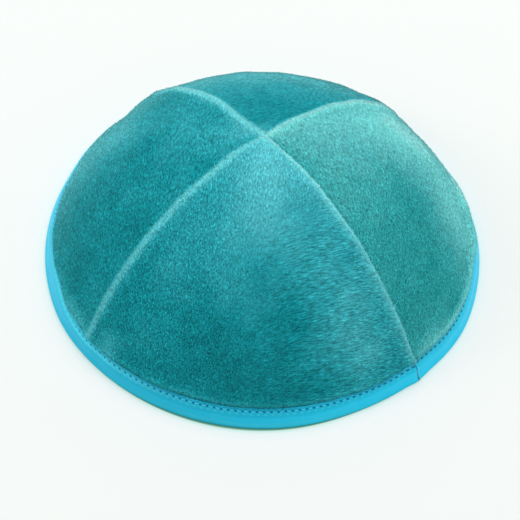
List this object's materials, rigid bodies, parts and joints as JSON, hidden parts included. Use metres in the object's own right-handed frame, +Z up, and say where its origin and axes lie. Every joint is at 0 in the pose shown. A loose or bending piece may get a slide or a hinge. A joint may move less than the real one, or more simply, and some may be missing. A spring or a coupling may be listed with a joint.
{
  "type": "kippah skullcap",
  "caption": "Round velvet skullcap sewn from gores that meet at the crown, with a narrow smooth binding folded round its rim.",
  "frame": {"origin": "middle of the rim, on the surface that the cap rests on", "axes": "+Z up through the crown, -Y towards the front gore, +X towards the right gore"},
  "size_m": [0.1796, 0.1796, 0.0579],
  "materials": {
    "velvet": "short cut pile with a soft sheen",
    "binding": "smooth semi-gloss"
  },
  "bodies": {
    "root": {"panel_front": "velvet", "panel_right": "velvet", "panel_back": "velvet", "panel_left": "velvet", "edge_binding": "binding"}
  },
  "joints": []
}
